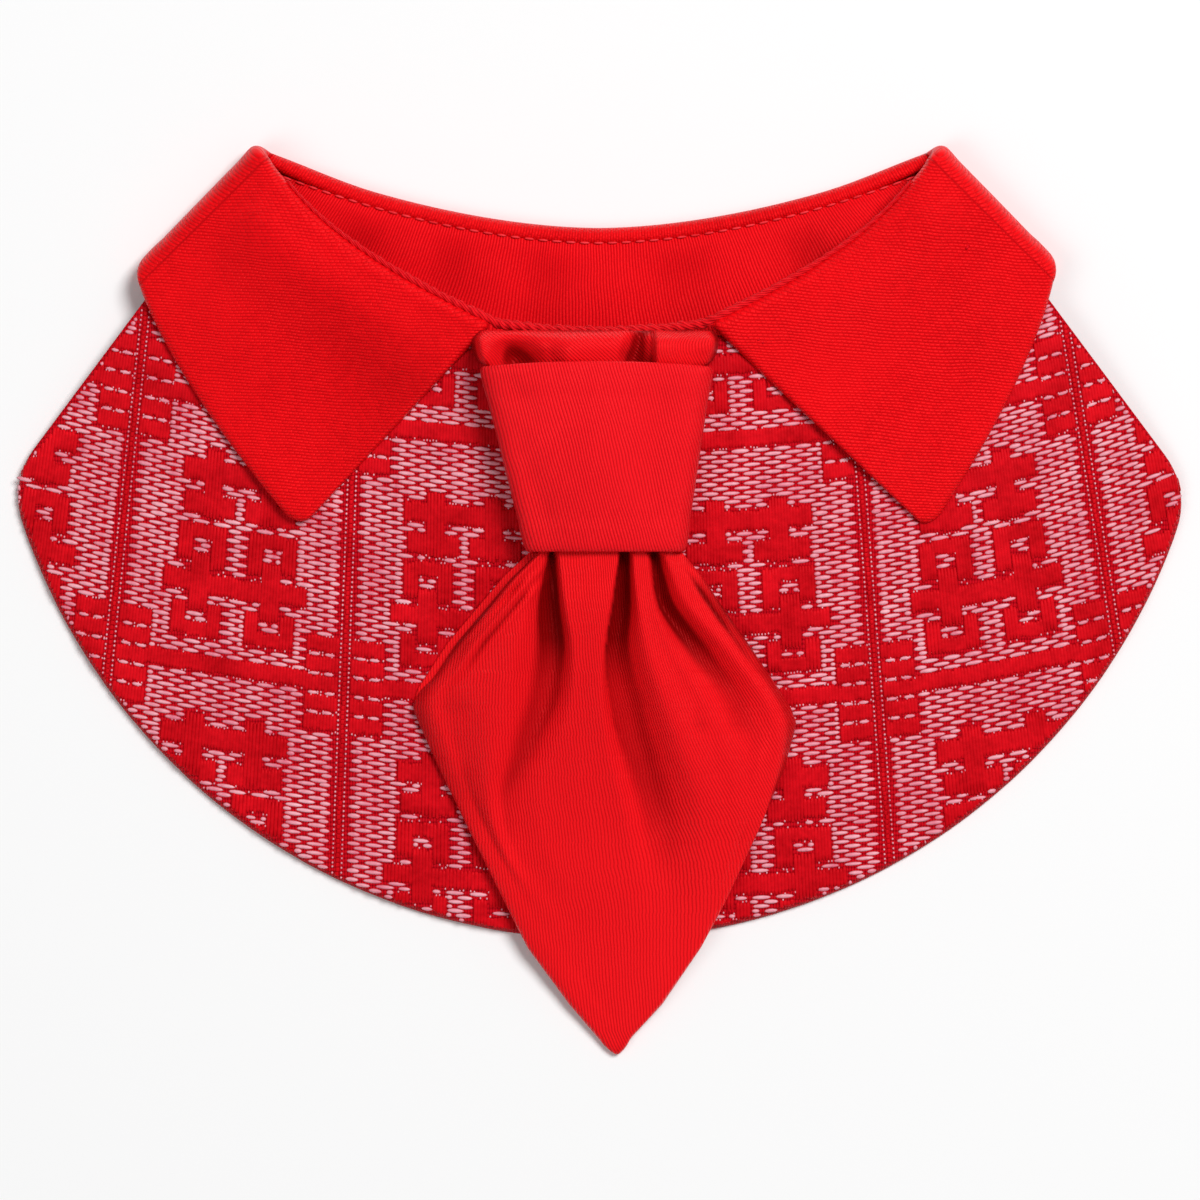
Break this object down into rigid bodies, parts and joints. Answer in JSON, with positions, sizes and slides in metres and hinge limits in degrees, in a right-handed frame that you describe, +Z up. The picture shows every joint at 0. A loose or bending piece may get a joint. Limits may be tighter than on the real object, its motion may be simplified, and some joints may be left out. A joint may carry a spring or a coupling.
{
  "type": "bib collar necktie",
  "caption": "Red pet bib collar lying flat: round brocade bib, turned-down satin collar with two pointed leaves, inner neck band, and a short gathered tie through a wrapped knot.",
  "frame": {"origin": "middle of the object's rectangle on the surface that it lies on", "axes": "+X to the wearer's left, right as seen from above; +Y from the bib's hem to the nape; +Z up from the surface, out of the bib's face"},
  "size_m": [0.2094, 0.163, 0.0233],
  "materials": {
    "bib_panel": "two-ply brocade, satin ground with raised pink weft floats",
    "collar": "satin twill, turned and pressed, soft sheen",
    "neck_band": "satin twill, soft sheen",
    "neck_binding": "satin twill rolled into a thin edge",
    "tie_blade": "satin twill, folded double, soft sheen",
    "tie_knot": "satin twill wrap, soft sheen"
  },
  "bodies": {
    "root": {"bib_panel": "bib_panel", "collar": "collar", "neck_band": "neck_band", "neck_binding": "neck_binding", "tie_blade": "tie_blade", "tie_knot": "tie_knot"}
  },
  "joints": []
}
